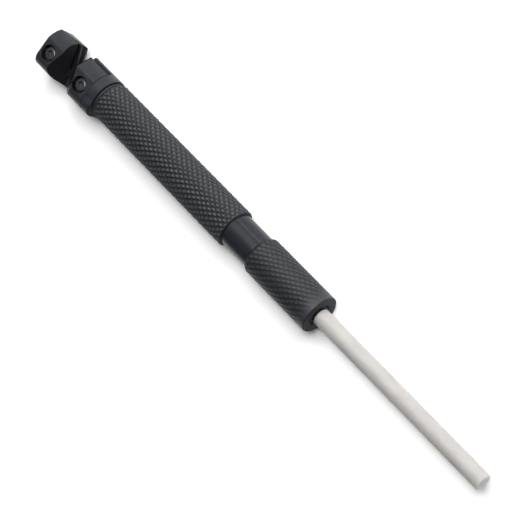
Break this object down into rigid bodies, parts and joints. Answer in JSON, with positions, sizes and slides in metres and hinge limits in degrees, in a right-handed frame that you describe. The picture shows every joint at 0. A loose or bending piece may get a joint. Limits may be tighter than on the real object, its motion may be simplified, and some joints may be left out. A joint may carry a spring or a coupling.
{
  "type": "knife sharpener",
  "caption": "Pocket knife sharpener: knurled handle with a pull-through V-notch head and a round sharpening rod that slides back into the handle through a collet nut.",
  "frame": {"origin": "centre of the tool's bounding box in X and Y, at the surface that it lies on", "axes": "+X along the handle toward the rod's tip, +Y the side that the V notch opens to, +Z the face with the clamp screws"},
  "size_m": [0.2186, 0.0156, 0.0144],
  "materials": {
    "black_anodised": "satin black anodised, bead blasted",
    "knurled_grip": "black anodised diamond knurl",
    "knurled_nut": "black anodised shallow knurl",
    "satin_neck": "satin black anodised, turned",
    "carbide": "ground tungsten carbide",
    "black_oxide_steel": "black oxide",
    "black_rubber": "matt",
    "collet_steel": "black oxide",
    "spring_steel": "satin",
    "bright_steel": "turned",
    "abrasive_rod": "fine grit, pale",
    "white_acetal": "smooth"
  },
  "bodies": {
    "root": {"head_body": "black_anodised", "tip_clamp": "black_anodised", "base_clamp": "black_anodised", "tip_blade": "carbide", "base_blade": "carbide", "clamp_screws": "black_oxide_steel", "head_seal_ring": "black_rubber", "handle_tube": "knurled_grip", "end_buffer": "black_rubber", "nose_bush": "satin_neck", "front_buffer": "black_rubber", "nut_friction_ring": "black_rubber", "collet": "collet_steel"},
    "nut_carriage": {"thrust_ring": "collet_steel"},
    "nut": {"collet_nut": "knurled_nut", "nut_snap_ring": "spring_steel"},
    "rod_carriage": {"rod_guide": "white_acetal"},
    "rod": {"rod_shank": "collet_steel", "sharpening_rod": "abrasive_rod", "rod_ferrule": "bright_steel", "ferrule_clip": "spring_steel"}
  },
  "joints": [
    {"name": "nut_travel", "type": "slide", "parent": "root", "child": "nut_carriage", "axis": [1, 0, 0], "range_m": [0, 0.003]},
    {"name": "nut_turn", "type": "hinge", "parent": "nut_carriage", "child": "nut", "pos_m": [0.01825, 0.00054, 0.00722], "axis": [1, 0, 0], "range_deg": [0, 1080]},
    {"name": "rod_slide", "type": "slide", "parent": "root", "child": "rod_carriage", "axis": [1, 0, 0], "range_m": [-0.074, 0]},
    {"name": "rod_turn", "type": "hinge", "parent": "rod_carriage", "child": "rod", "pos_m": [-0.00375, 0.00054, 0.00722], "axis": [1, 0, 0], "continuous": true}
  ],
  "couplings": [
    {"joint": "nut_travel", "follows": "nut_turn", "m_per_rad": 0.00015915}
  ]
}
